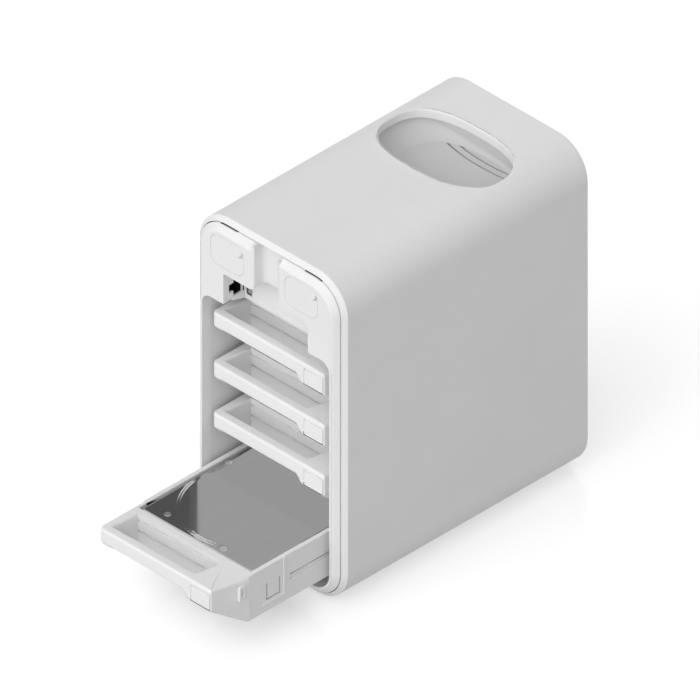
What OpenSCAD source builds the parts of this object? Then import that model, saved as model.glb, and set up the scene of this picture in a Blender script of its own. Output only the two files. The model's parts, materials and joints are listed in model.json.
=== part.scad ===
// Four-bay network storage enclosure, standing upright, with its lowest drive tray drawn out.
// Millimetres, +Z up. The front with the trays and the ports faces -Y and +X is to its right.
// The origin is the middle of the rubber pad's underside, on the surface that the case stands on.
// Inside the modules y runs from the front plane inwards and z from the shell's underside:
// placed() carries that frame to the origin.

/* [Case] */
// Width of the case, side to side
case_w = 135; // [134:0.5:140]
// Depth of the case, front to far end
case_d = 227; // [226:1:240]
// Height of the shell, without the pad that it stands on
case_h = 254; // [254:1:262]
// Radius of the four long edges of the shell
corner_r = 27; // [26:0.5:29]
// Thickness of the shell
shell_t = 3.3; // [3.2:0.1:3.5]
// How far the rubber pad stands out below the shell
pad_proud = 1.5; // [1:0.1:2]

/* [Front] */
// Depth and width of the slanted band round the front
bevel = 8; // [7.5:0.1:8.5]
// Gap between the shell and the front bezel
groove = 0.6; // [0.4:0.1:0.8]
// Thickness of the front bezel
bezel_t = 3; // [2.5:0.1:3]
// Half the width of the tray opening
bay_half_w = 58; // [58:0.1:58.5]
// Height of the tray opening's lower edge
bay_low = 10.5; // [10.5:0.1:11]
// Height of the tray opening's upper edge
bay_high = 191.2; // [191:0.1:191.5]
// Half the width of the port recess
recess_half_w = 38.5; // [38.5:0.1:39]
// Height of the port recess's upper edge
recess_high = 215; // [214.5:0.1:215.5]
// Depth of the port recess
recess_depth = 19.6; // [19.6:0.1:20]
// Depth of the cable channel above the port recess
channel_depth = 10; // [9:0.5:11]

/* [Trays] */
// Height from one tray to the next
tray_pitch = 39.7; // [39.7:0.05:40]
// Height of the lowest tray's underside
tray_low = 21.9; // [21.5:0.1:22]
// Height of a tray
tray_h = 35; // [34.5:0.1:35]
// Half the width of a tray
tray_half_w = 54.2; // [54.2:0.05:54.4]
// How far a closed tray's handle sits behind the front plane
tray_setback = 4.5; // [4.5:0.1:5]
// How far the lowest tray is drawn out
tray_out = 103; // [20:1:110]
// Thickness of the handle's front bar, front to back
bar_t = 7.7; // [7:0.1:8]
// Height of the handle's front bar
bar_h = 11; // [10:0.1:11.5]
// Height of the solid block at the handle's right end
block_h = 16.5; // [16:0.1:17]

/* [Drives] */
// Width of a 3.5 inch drive
drive_w = 101.6; // [101.6:0.1:101.6]
// Length of a 3.5 inch drive
drive_l = 147; // [147:0.5:147]
// Height of a 3.5 inch drive
drive_h = 26.1; // [26.1:0.1:26.1]

/* [Top scoop] */
// Half the length of the scoop's mouth, side to side
scoop_a = 50.5; // [48:0.5:51]
// Half the width of the scoop's mouth, front to back
scoop_b = 31.6; // [30:0.1:33]
// How far the scoop's middle lies right of the case's middle
scoop_x = 2; // [0:0.5:2]
// Distance from the front plane to the scoop's middle
scoop_y = 162; // [158:0.1:164]
// Depth of the scoop below the top
scoop_depth = 21; // [20:0.5:26]

/* [Fan] */
// Side of the square fan
fan_size = 92; // [92:1:92]
// Thickness of the fan
fan_t = 25; // [25:1:25]
// Height of the fan's axis
fan_z = 105; // [95:1:110]

/* [Hidden] */
$fn = 64;

fit_gap = 0.1;                 // between parts of the case that meet
chamfer = shell_t - 0.3;       // slanted edge at the front of the shell
shell_front = bevel - shell_t; // where the shell starts behind the front plane
bezel_in = shell_t + groove;   // how far the bezel lies inside the shell's outline
bezel_slope = bevel - bezel_in;
bezel_r = corner_r - bezel_in;
bezel_blend = 5;               // radius between the bezel's slope and its flat front
skirt_end = 8;                 // where the bezel's rim ends inside the shell
flange_w = 12;                 // inner flange at the shell's far end
far_round = 1.5;               // rounding of the shell's far edge
floor_top = bay_low - 0.1;
ceiling_low = 188.1;
ceiling_t = 1.9;
cage_front = skirt_end + fit_gap;
cage_back = 186;
cage_t = 3;
channel_left = -10.7;
channel_right = 10;
channel_r = 3.5;               // rounding of the channel's back corners
channel_flare = 4;             // rounding where the channel runs into the port recess
channel_left_edge = 1;         // rounding of the channel's front edges
channel_right_edge = 3;
channel_wall = 2;
plate_low = 186.5;             // lower edge of the port plate
plate_t = 2;
seam_z = 189.6;                // fine seam across the port plate
jack_y = 9.2;                  // front and lower edge of the network jack's mouth
jack_z = 192.8;
light_y = [17.9, 19.5];        // status light beside the jack, front to back and low to high
light_z = [192.6, 199.4];
usb_lo = [-36.9, 190.4];       // upright port's lower left and upper right corners
usb_hi = [-31.9, 204.4];
usb_t = 0.6;
usb_tongue = 1.3;              // from the port's outside to the tongue in its middle
inlet_x = 16;
inlet_z = 203;
inlet_r = 5.1;
rail_z = 16.5;                 // middle of the guide rail above a tray's underside
rail_h = 4.2;
groove_start = 66.6;           // where a tray's guide groove starts behind its handle's front
face_front = 29;               // front of a tray's face plate behind its handle's front
face_back = 34;
tray_end = 184;
block_x = 48.9;                // right edge of the handle's block at its front
wall_t = 3;                    // side wall of a tray
floor_t = 3;
face_end = 41;                 // where the handle's short side walls end
guide_cut = 2.2;               // depth of a tray's guide groove
clip_y = 45;                   // U-shaped cut round the drive clip in a tray's side
clip_z = 8.4;
clip_l = 13;
clip_h = 13.2;
clip_cut = 1.3;
deep_from = 27.5;              // where a handle's arms reach their full height
face_grooves = [30, 21.7];     // heights of the two long grooves in a face plate
face_groove_h = 1.8;
face_groove_d = 1.6;
button_lo = [30.6, 19.6];      // release button's lower left corner (x, z)
button_hi = [47.5, 31.1];
button_gap = 0.35;
catch_y = 23;                  // middle of the latch catch behind the handle's front
catch_z = 25;
catch_w = 5.2;
catch_h = 11;
drive_front = 34.5;
drive_low = tray_h - 0.5 - drive_h;
lid_t = 2;
lid_base = 1.1;                // thickness of the lid away from its raised area
disc_r = 47.5;                 // radius of the lid's raised round
disc_y = 52.7;                 // its centre behind the drive's front
drive_holes = [16.9, 77, 118.5]; // side holes behind the drive's front
low_screws = [[-33.7, 8.6], [-46.4, 77], [19.7, 6.2], [-44, 136]];
high_screws = [[42, 136]];
sunk_screw = [44.3, 19];
pad_half_w = 45;
pad_margin = 20;               // pad's distance from the front plane and from the far end
pad_sunk = 1.4;                // how far the pad sits in its recess
scoop_wall = 2.5;
scoop_lip = 7.5;               // height of the scoop's lip, which the tub is undercut behind
slit_r = 150;                  // radius of the curved slits in the scoop's floor
slit_x = 10;                   // the slits' foremost point, right of the scoop's middle
slit_y = 22;                   // the same point, behind the scoop's middle
slit_w = 1.4;
slit_step = 5.3;               // from the front slit to the back one
fan_front = case_d - 6.4 - fan_t;
panel_inset = flange_w + 0.3;
top_slits = [-44.9, 31.6];     // left ends of the stretches of groove that hold dark windows
top_slit_l = 15.5;
window_sunk = 0.3;             // how far their dark windows sit in the bezel's rim and behind its band
sled_x = [-35, 32.5];          // middles of the two SSD sleds
sled_z = 231.5;
sled_w = 29.6;
sled_gap = 0.2;                // gap round a sled's cover
sled_h = 23;
sled_l = 96;
cover_t = 3.5;                 // thickness of a sled's cover
notch_t = 2.2;                 // depth of its crescent nail notch
notch_r = 2.7;

module placed() {
    translate([0, -case_d / 2, pad_proud]) children();
}

// Extrudes a front view (x right, y up) from depth y0 to depth y1.
module slab(y0, y1) {
    translate([0, y1, 0]) rotate([90, 0, 0]) linear_extrude(y1 - y0) children();
}

// Extrudes a side view (x inwards, y up) from x0 to x1.
module side_slab(x0, x1) {
    translate([x0, 0, 0]) rotate([90, 0, 90]) linear_extrude(x1 - x0) children();
}

module box(lo, hi) {
    translate(lo) cube(hi - lo);
}

// A rounded rectangle, w by h, centred on x = 0 with its lower edge at y = low.
module round_rect(w, h, r, low = 0) {
    translate([-w / 2, low + r]) square([w, h - 2 * r]);
    translate([-w / 2 + r, low]) square([w - 2 * r, h]);
    for (x = [-1, 1], y = [r, h - r]) translate([x * (w / 2 - r), low + y]) circle(r);
}

// Sweeps a section round a rounded rectangle. The section's x is the distance out from the
// corner's own axis and its y is the depth behind the front plane.
module swept_round(w, h, r, low = 0) {
    translate([0, 0, low + h / 2])
        for (flip_x = [0, 1]) mirror([flip_x, 0, 0]) {
            translate([w / 2 - r, 0, r - h / 2]) linear_extrude(h - 2 * r) children();
            for (flip_z = [0, 1]) mirror([0, 0, flip_z])
                translate([w / 2 - r, 0, h / 2 - r])
                    mirror([0, 1, 0]) rotate([90, 0, 0]) rotate_extrude(angle = 90) children();
        }
    translate([0, 0, low + h / 2])
        for (flip_z = [0, 1]) mirror([0, 0, flip_z])
            translate([w / 2 - r, 0, h / 2 - r])
                rotate([0, -90, 0]) linear_extrude(w - 2 * r) children();
}

// A soft oval between an ellipse and a rectangle, with half axes a and b.
module soft_oval(a, b, power = 2.6, steps = 72) {
    function bent(v) = sign(v) * pow(abs(v), 2 / power);
    polygon([for (i = [0 : steps - 1]) [a * bent(cos(360 * i / steps)), b * bent(sin(360 * i / steps))]]);
}

// A pan-head screw whose head rests at the origin, its shank along +Y.
module screw(head_r = 2.75, head_h = 1.6, shank_r = 1.4, shank_l = 6) {
    rotate([-90, 0, 0]) difference() {
        union() {
            translate([0, 0, -head_h]) cylinder(r = head_r, h = head_h);
            cylinder(r = shank_r, h = shank_l);
        }
        for (turn = [0, 90]) rotate([0, 0, turn])
            translate([-head_r * 0.65, -0.35, -head_h - 1]) cube([head_r * 1.3, 0.7, 1.9]);
    }
}

module shell_section() {
    r = corner_r;
    polygon(concat(
        [[r - shell_t, shell_front], [r - chamfer, shell_front], [r, shell_front + chamfer]],
        [for (turn = [0 : 15 : 90])
            [r - far_round * (1 - cos(turn)), case_d - far_round * (1 - sin(turn))]],
        [[r - flange_w, case_d], [r - flange_w, case_d - shell_t], [r - shell_t, case_d - shell_t]]));
}

// Places children at the four fixing points of the rear panel, in the front view's frame.
module at_panel_corners() {
    for (x = [-1, 1], z = [26, case_h - 26])
        translate([x * (case_w / 2 - panel_inset - 8), 0, z]) children();
}

module at_fan_corners() {
    for (x = [-41.25, 41.25], z = [-41.25, 41.25]) translate([x, 0, fan_z + z]) children();
}

module outer_shell() {
    color("whitesmoke") placed() difference() {
        swept_round(case_w, case_h, corner_r) shell_section();
        translate([scoop_x, scoop_y, case_h - 10]) linear_extrude(20) soft_oval(scoop_a, scoop_b);
        // shallow recess for the pad
        slab(pad_margin, case_d - pad_margin) translate([-pad_half_w - fit_gap, -1])
            square([2 * (pad_half_w + fit_gap), 1 + pad_sunk + fit_gap]);
    }
}

module base_pad() {
    length = case_d - 2 * (pad_margin + fit_gap);
    color("dimgray") placed() translate([0, case_d / 2, -pad_proud]) difference() {
        linear_extrude(pad_proud + pad_sunk) round_rect(2 * pad_half_w, length, 10, -length / 2);
        // grip grooves either side of the plain middle
        for (side = [-1, 1], step = [1 : 2]) translate([-36, side * 30 * step - 1.25, -1]) cube([72, 2.5, 1.6]);
    }
}

module rear_panel() {
    w = case_w - 2 * panel_inset;
    h = case_h - 2 * panel_inset;
    color("whitesmoke") placed() difference() {
        union() {
            slab(case_d - shell_t - 0.2, case_d - 0.8)
                round_rect(w, h, corner_r - panel_inset, panel_inset);
            slab(case_d - 6.3, case_d - shell_t - 0.1)
                round_rect(w + 12, h + 12, corner_r - panel_inset + 6, panel_inset - 6);
        }
        // vent slots in front of the fan, their lengths following a circle
        for (x = [-40 : 8 : 40]) {
            half = sqrt(44 * 44 - x * x);
            slab(case_d - 8, case_d + 1) {
                translate([x - 1.6, fan_z - half]) square([3.2, 2 * half]);
                for (end = [-1, 1]) translate([x, fan_z + end * half]) circle(1.6);
            }
        }
        for (z = [160 : 9 : 214]) slab(case_d - 8, case_d + 1) {
            translate([-30, z - 1.6]) square([60, 3.2]);
            for (end = [-1, 1]) translate([end * 30, z]) circle(1.6);
        }
        at_panel_corners() translate([0, case_d + 1, 0]) rotate([90, 0, 0]) cylinder(r = 1.6, h = 10);
        at_fan_corners() translate([0, case_d + 1, 0]) rotate([90, 0, 0]) cylinder(r = 1.6, h = 10);
    }
}

module case_screws() {
    color("silver") placed() at_panel_corners()
        translate([0, case_d - 0.75, 0]) mirror([0, 1, 0]) screw(shank_l = 8);
}

module fan_screws() {
    color("silver") placed() at_fan_corners()
        translate([0, case_d - 0.75, 0]) mirror([0, 1, 0]) screw(shank_l = 14);
}

// The slope runs into the flat front through an arc, so the band has no hard inner line.
module bezel_section() {
    r = bezel_r;
    reach = bezel_blend * tan(22.5);
    polygon(concat(
        [[r - 8, 0]],
        [for (turn = [0 : 7.5 : 45])
            [r - bezel_slope - reach + bezel_blend * sin(turn), bezel_blend * (1 - cos(turn))]],
        [[r, bezel_slope], [r, skirt_end], [r - 2.2, skirt_end], [r - 2.2, bezel_slope + 1.4],
         [r - 4, bezel_t], [r - 8, bezel_t]]));
}

module bay_outline(grow = 0) {
    w = 2 * (bay_half_w + grow);
    h = bay_high - bay_low + 2 * grow;
    low = bay_low - grow;
    r_low = 15 + grow;
    r_high = 8 + grow;
    translate([-w / 2, low + r_low]) square([w, h - r_low - r_high]);
    translate([-w / 2 + r_low, low]) square([w - 2 * r_low, h - r_high]);
    translate([-w / 2 + r_high, low + r_low]) square([w - 2 * r_high, h - r_low]);
    for (x = [-1, 1]) {
        translate([x * (w / 2 - r_low), low + r_low]) circle(r_low);
        translate([x * (w / 2 - r_high), low + h - r_high]) circle(r_high);
    }
}

// Seen from above: the channel's plan, open at the front, with rounded back corners.
module channel_plan(grow = 0) {
    r = channel_r + grow;
    left = channel_left - grow;
    right = channel_right + grow;
    back = channel_depth + grow;
    translate([left, -1]) square([right - left, back + 1 - r]);
    translate([left + r, -1]) square([right - left - 2 * r, back + 1]);
    for (x = [left + r, right - r]) translate([x, back - r]) circle(r);
}

// A concave quarter round with its corner at the origin, reaching left and up by r.
module flare(r) {
    difference() {
        translate([-r, 0]) square([r + 0.1, r]);
        translate([-r, r]) circle(r);
    }
}

// Rounds the channel's lower end, at both sides, at its back and round its back corners.
module channel_flares() {
    left = channel_left + channel_r;
    right = channel_right - channel_r;
    slab(-1, channel_depth - channel_r) {
        translate([channel_left, recess_high]) flare(channel_flare);
        translate([channel_right, recess_high]) mirror([1, 0]) flare(channel_flare);
    }
    side_slab(left, right) translate([channel_depth, recess_high]) mirror([1, 0]) flare(channel_flare);
    for (x = [left, right]) translate([x, channel_depth - channel_r, recess_high]) rotate_extrude()
        translate([channel_r, 0]) mirror([1, 0]) flare(channel_flare);
}

// Seen from above: rounds the channel's front edges.
module channel_edges() {
    translate([channel_left, 0]) flare(channel_left_edge);
    translate([channel_right, 0]) mirror([1, 0]) flare(channel_right_edge);
}

module recess_outline() {
    top_r = 8;
    translate([-recess_half_w, bay_high - 20]) square([2 * recess_half_w, recess_high - bay_high + 20 - top_r]);
    translate([-recess_half_w, bay_high]) square([2 * recess_half_w - top_r, recess_high - bay_high]);
    translate([recess_half_w - top_r, recess_high - top_r]) circle(top_r);
}

module sled_outline(i, grow = 0) {
    translate([sled_x[i], 0])
        round_rect(sled_w + 2 * grow, sled_h + 2 * grow, 7 + grow, sled_z - sled_h / 2 - grow);
}

// Two stretches of the groove at the top, between two distances inside the case's outline.
module top_windows(front, back, inner, outer, gap = 0) {
    intersection() {
        slab(front, back) difference() {
            round_rect(case_w - 2 * outer, case_h - 2 * outer, corner_r - outer, outer);
            round_rect(case_w - 2 * inner, case_h - 2 * inner, corner_r - inner, inner);
        }
        for (x = top_slits) box([x + gap, front, case_h / 2], [x + top_slit_l - gap, back, case_h]);
    }
}

module front_bezel() {
    color("white") placed() difference() {
        union() {
            slab(0, bezel_t)
                round_rect(case_w - 2 * bezel_in - 10, case_h - 2 * bezel_in - 10, bezel_r - 5, bezel_in + 5);
            swept_round(case_w - 2 * bezel_in, case_h - 2 * bezel_in, bezel_r, bezel_in) bezel_section();
            slab(0, skirt_end) bay_outline(1.6);
            intersection() {
                union() {
                    translate([0, 0, recess_high]) linear_extrude(case_h - bezel_in - recess_high)
                        channel_plan(channel_wall);
                    translate([0, 0, recess_high]) linear_extrude(channel_flare + channel_wall)
                        channel_plan(channel_flare + 1);
                }
                box([-30, 0, recess_high], [30, 40, case_h]);
            }
        }
        slab(-1, skirt_end + 1) bay_outline();
        slab(-1, recess_depth) recess_outline();
        translate([0, 0, recess_high - 10]) linear_extrude(60) {
            channel_plan();
            channel_edges();
        }
        channel_flares();
        for (i = [0, 1]) slab(-1, bezel_t + 1) sled_outline(i, sled_gap);
        top_windows(-1, skirt_end + 1, bezel_in + window_sunk + fit_gap, bezel_in - groove);
    }
}

// Blocks and roof round the port recess, behind the bezel.
module port_shroud() {
    color("white") placed() difference() {
        union() {
            for (x = [-57, recess_half_w]) side_slab(x, x + 57 - recess_half_w) polygon([
                [bezel_t + 0.1, bay_high + 1.7], [skirt_end + 0.1, bay_high + 1.7],
                [skirt_end + 0.1, ceiling_low + 2], [recess_depth, plate_low],
                [recess_depth, recess_high + 3], [bezel_t + 0.1, recess_high + 3]]);
            box([-recess_half_w - 1, bezel_t + 0.1, recess_high + 0.5], [recess_half_w + 1, recess_depth, recess_high + 3]);
        }
        // room for the cable channel, the network jack and the status light
        translate([0, 0, recess_high - 10]) linear_extrude(20) channel_plan(channel_flare + 1 + fit_gap);
        jack_body(0.1);
        jack_mouth();
        box([-60, light_y[0], light_z[0]], [-recess_half_w + 1, light_y[1], light_z[1]]);
    }
}

// The jack's mouth in the side wall: its plug goes in sideways, clip towards the front.
module jack_mouth(depth = 3) {
    box([-recess_half_w - depth, jack_y, jack_z], [-recess_half_w + 1, jack_y + 8, jack_z + 13.2]);
    box([-recess_half_w - depth, jack_y - 4, jack_z + 4.2], [-recess_half_w + 1, jack_y + 0.1, jack_z + 10.6]);
}

// The jack's body, stepped to clear the edge of the tray opening.
module jack_body(grow = 0) {
    left = -56.8 - grow;
    right = -recess_half_w - 1.6 + grow;
    high = jack_z + 15.5 + grow;
    box([left, jack_y - 5 - grow, jack_z + 0.2 - grow], [right, jack_y, high]);
    box([left, jack_y - 0.5 - grow, jack_z - 1.2 - grow], [right, jack_y + 8.4 + grow, high]);
}

module lan_jack() {
    color("gray") placed() difference() {
        jack_body();
        jack_mouth(15);
        // floor of the mouth steps down to the contacts
        box([-54, jack_y + 1.5, jack_z - 0.6], [-recess_half_w, jack_y + 6.5, jack_z + 1]);
    }
}

// The light beside the jack, and the two dark windows in the groove at the top.
module status_light() {
    color("dimgray") placed() {
        box([-45, light_y[0] + fit_gap, light_z[0] + fit_gap],
            [-recess_half_w - 0.3, light_y[1] - fit_gap, light_z[1] - fit_gap]);
        top_windows(bezel_slope + window_sunk, skirt_end, bezel_in + window_sunk, shell_t + fit_gap, fit_gap);
    }
}

module port_plate() {
    front = recess_depth + fit_gap;
    color("white") placed() difference() {
        slab(front, front + plate_t)
            translate([-57, plate_low]) square([114, recess_high + 3 - plate_low]);
        // fine seam, right of the upright port
        box([-25, front - 1, seam_z], [60, front + 0.4, seam_z + 0.4]);
        box([usb_lo[0] - fit_gap, front - 1, usb_lo[1] - fit_gap],
            [usb_hi[0] + fit_gap, front + 5, usb_hi[1] + fit_gap]);
        translate([inlet_x, front - 1, inlet_z]) rotate([-90, 0, 0]) cylinder(r = inlet_r + fit_gap, h = 5);
    }
}

// An upright port: a thin steel mouth with a tongue standing in it.
module usb_port() {
    front = recess_depth - 0.1;
    color("silver") placed() {
        difference() {
            box([usb_lo[0], front, usb_lo[1]], [usb_hi[0], front + 17, usb_hi[1]]);
            box([usb_lo[0] + usb_t, front - 1, usb_lo[1] + usb_t], [usb_hi[0] - usb_t, front + 15, usb_hi[1] - usb_t]);
        }
        box([usb_lo[0] + usb_tongue, front + 0.4, usb_lo[1] + usb_tongue],
            [usb_hi[0] - usb_tongue, front + 15.5, usb_hi[1] - usb_tongue]);
    }
}

module power_inlet() {
    color("dimgray") placed() translate([inlet_x, recess_depth - 0.2, inlet_z]) rotate([-90, 0, 0]) {
        difference() {
            union() {
                cylinder(r = inlet_r, h = 3);
                translate([-5.5, -5.5, 2.4]) cube([11, 11, 12]);
            }
            translate([0, 0, -1]) cylinder(r = 3.2, h = 12);
        }
        translate([0, 0, 1.5]) cylinder(r = 1, h = 10);
    }
}

module mainboard() {
    color("seagreen") placed() {
        difference() {
            box([-54, 42, 194], [54, 180, 195.6]);
            for (x = [-48, 48], y = [48, 174]) translate([x, y, 190]) cylinder(r = 1.6, h = 10);
        }
        // stand-off posts, memory socket, processor package and headers
        for (x = [-48, 48], y = [48, 174]) translate([x, y, 190.1]) difference() {
            cylinder(r = 3, h = 3.9);
            translate([0, 0, -1]) cylinder(r = 1.3, h = 6);
        }
        box([-20, 80, 195.6], [20, 120, 197.6]);
        box([30, 62, 195.6], [37, 136, 201]);
        for (i = [0 : 3]) box([-50 + 11 * i, 160, 195.6], [-42 + 11 * i, 168, 203]);
    }
}

module heat_sink() {
    color("silver") placed() {
        box([-21, 79, 197.7], [21, 121, 200.7]);
        for (i = [0 : 10]) box([-21 + 4.05 * i, 79, 200.6], [-19.5 + 4.05 * i, 121, 215]);
    }
}

// One side of the drive cage, with a guide rail for each tray.
module cage_side(side) {
    color("gainsboro") placed() mirror([side < 0 ? 1 : 0, 0, 0]) {
        box([bay_half_w, cage_front, 17], [bay_half_w + cage_t, cage_back, ceiling_low - 0.1]);
        for (i = [0 : 3]) {
            z = tray_low + tray_pitch * i + rail_z;
            side_slab(tray_half_w - guide_cut + 0.4, bay_half_w + 0.5) polygon([
                [tray_setback + groove_start + 6, z - rail_h / 2],
                [tray_setback + groove_start + 2.5, z - rail_h / 2 + 1.4],
                [tray_setback + groove_start + 2.5, z + rail_h / 2 - 1.4],
                [tray_setback + groove_start + 6, z + rail_h / 2],
                [cage_back, z + rail_h / 2], [cage_back, z - rail_h / 2]]);
        }
    }
}

module cage_left() {
    cage_side(-1);
}

module cage_right() {
    cage_side(1);
}

module cage_floor() {
    t = 2;
    color("gainsboro") placed() slab(cage_front, cage_back) polygon([
        [-60, 16.9], [-52, floor_top - t], [52, floor_top - t], [60, 16.9],
        [58, 16.9], [51, floor_top], [-51, floor_top], [-58, 16.9]]);
}

module cage_ceiling() {
    color("gainsboro") placed() difference() {
        box([-61, recess_depth + plate_t + 0.2, ceiling_low], [61, cage_back, ceiling_low + ceiling_t]);
        for (x = [-40 : 20 : 40]) box([x - 6, 130, ceiling_low - 1], [x + 6, 160, ceiling_low + 4]);
    }
}

module backplane() {
    color("seagreen") placed() difference() {
        box([-57, cage_back + 4, 20], [57, cage_back + 5.6, 186]);
        // air gaps above each socket
        for (i = [0 : 3]) box([-48, cage_back, tray_low + tray_pitch * i + 18],
            [48, cage_back + 8, tray_low + tray_pitch * i + 32]);
    }
}

// A combined power and data socket for each drive, low on the left of its back end.
module sata_sockets() {
    color("black") placed() for (i = [0 : 3]) {
        z = tray_low + tray_pitch * i + drive_low;
        difference() {
            box([-30, cage_back - 2, z + 1], [14, cage_back + 3.9, z + 6]);
            box([-28.5, cage_back - 3, z + 2.6], [12.5, cage_back, z + 4.4]);
        }
    }
}

module fan_frame() {
    color("dimgray") placed() translate([0, fan_front, fan_z]) {
        difference() {
            slab(0, fan_t) round_rect(fan_size, fan_size, 5, -fan_size / 2);
            rotate([-90, 0, 0]) translate([0, 0, -1]) cylinder(r = fan_size / 2 - 2, h = fan_t + 2);
            for (x = [-41.25, 41.25], z = [-41.25, 41.25])
                translate([x, -1, z]) rotate([-90, 0, 0]) cylinder(r = 2.15, h = fan_t + 2);
        }
        // four arms carry the hub and the shaft
        translate([0, fan_t, 0]) rotate([90, 0, 0]) {
            cylinder(r = 18, h = 3);
            cylinder(r = 1.5, h = 20);
            for (turn = [45 : 90 : 315]) rotate([0, 0, turn]) translate([15, -2, 0]) cube([31, 4, 3]);
        }
    }
}

module fan_rotor() {
    color("darkslategray") placed() translate([0, fan_front, fan_z]) rotate([-90, 0, 0]) {
        difference() {
            translate([0, 0, 2]) cylinder(r = 19, h = 19.4);
            translate([0, 0, 5]) cylinder(r = 1.55, h = 20);
            translate([0, 0, 7]) difference() {
                cylinder(r = 17, h = 20);
                cylinder(r = 5, h = 20);
            }
        }
        intersection() {
            difference() {
                translate([0, 0, 3]) cylinder(r = 42.5, h = 17.5);
                translate([0, 0, -5]) cylinder(r = 18.5, h = 40);
            }
            for (turn = [0 : 360 / 7 : 359]) rotate([0, 0, turn])
                translate([0, 0, 11.5]) rotate([38, 0, 0]) translate([10, -15, -0.8]) cube([40, 30, 1.6]);
        }
    }
}

// A tub below the hole in the top, with two curved slits near its back wall.
module top_scoop() {
    inside = shell_t + fit_gap;
    tub_low = case_h - scoop_depth - scoop_wall;
    color("whitesmoke") placed() difference() {
        union() {
            intersection() {
                translate([scoop_x, scoop_y, tub_low]) linear_extrude(case_h - tub_low)
                    soft_oval(scoop_a + 5, scoop_b + 5);
                slab(scoop_y - 50, scoop_y + 50)
                    round_rect(case_w - 2 * inside, case_h - 2 * inside, corner_r - inside, inside);
            }
            intersection() {
                translate([scoop_x, scoop_y, case_h - scoop_lip]) linear_extrude(scoop_lip + 1)
                    soft_oval(scoop_a - 0.15, scoop_b - 0.15);
                slab(scoop_y - 50, scoop_y + 50) round_rect(case_w, case_h, corner_r);
            }
        }
        translate([scoop_x, scoop_y, case_h - scoop_lip]) linear_extrude(20)
            soft_oval(scoop_a - 1.1, scoop_b - 1.1);
        translate([scoop_x, scoop_y, case_h - scoop_depth]) linear_extrude(scoop_depth - scoop_lip + 0.5)
            soft_oval(scoop_a + 2.5, scoop_b + 2.5);
        for (back = [0, slit_step]) scoop_slit(slit_y + back);
    }
}

// One curved slit, its ends bending towards the far end.
module scoop_slit(y) {
    translate([scoop_x, scoop_y, case_h - scoop_depth - scoop_wall - 1]) intersection() {
        translate([slit_x, y + slit_r, 0]) difference() {
            cylinder(r = slit_r + slit_w / 2, h = scoop_wall + 2, $fn = 180);
            translate([0, 0, -1]) cylinder(r = slit_r - slit_w / 2, h = scoop_wall + 4, $fn = 180);
        }
        translate([-25, 0, -1]) cube([55, 60, scoop_wall + 4]);
    }
}

// Two open-topped channels that guide the SSD sleds, each with its socket at the end.
module ssd_guides() {
    low = sled_z - sled_h / 2;
    color("gainsboro") placed() {
        for (x = sled_x) {
            difference() {
                box([x - 16, cover_t + 0.2, low - 1.9], [x + 16, sled_l + 10, low + 16]);
                box([x - 14.5, 0, low - 0.4], [x + 14.5, sled_l + 8, low + 20]);
            }
            box([x - 11, sled_l + 2.5, low + 2.5], [x + 11, sled_l + 8.1, low + 7]);
        }
        // bridge from one guide to the other
        box([sled_x[0] - 15, 90, low - 4.8], [sled_x[1] + 15, 100, low - 1.8]);
    }
}

module ssd_sled(i) {
    color("white") placed() {
        difference() {
            slab(0, cover_t) sled_outline(i);
            // nail notch near the upper right corner
            slab(-1, notch_t) translate([sled_x[i] + 11.4, sled_z + 5.6]) difference() {
                circle(notch_r);
                translate([-1.2, 0.7]) circle(notch_r);
            }
        }
        // trough whose lower corners are cut to clear the cover's rounded opening
        slab(cover_t - 0.1, sled_l) translate([sled_x[i], sled_z - sled_h / 2]) polygon([
            [-12.6, 6], [-12.6, 3.4], [-10.2, 0.7], [10.2, 0.7], [12.6, 3.4], [12.6, 6],
            [11.3, 6], [11.3, 3.8], [9.6, 2], [-9.6, 2], [-11.3, 3.8], [-11.3, 6]]);
    }
}

module ssd_sled_left() {
    ssd_sled(0);
}

module ssd_sled_right() {
    ssd_sled(1);
}

// A 22 by 80 mm solid-state drive with its chips.
module ssd(i) {
    color("darkgreen") placed() translate([sled_x[i], 0, sled_z - sled_h / 2]) {
        box([-11, 14, 4.2], [11, 94, 5]);
        for (y = [20, 42]) box([-9, y, 5], [9, y + 18, 6.4]);
        box([-6, 66, 5], [6, 76, 6.2]);
        for (y = [18, 84]) box([-8, y, 2.1], [8, y + 4, 4.2]);
    }
}

module ssd_left() {
    ssd(0);
}

module ssd_right() {
    ssd(1);
}

// Carries a tray's own frame to its bay: y from its handle's front, z from its underside.
// Bay 1 is the highest and bay 4 is drawn out.
module in_bay(n) {
    placed() translate([0, tray_setback - (n == 4 ? tray_out : 0), tray_low + tray_pitch * (4 - n)]) children();
}

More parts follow.
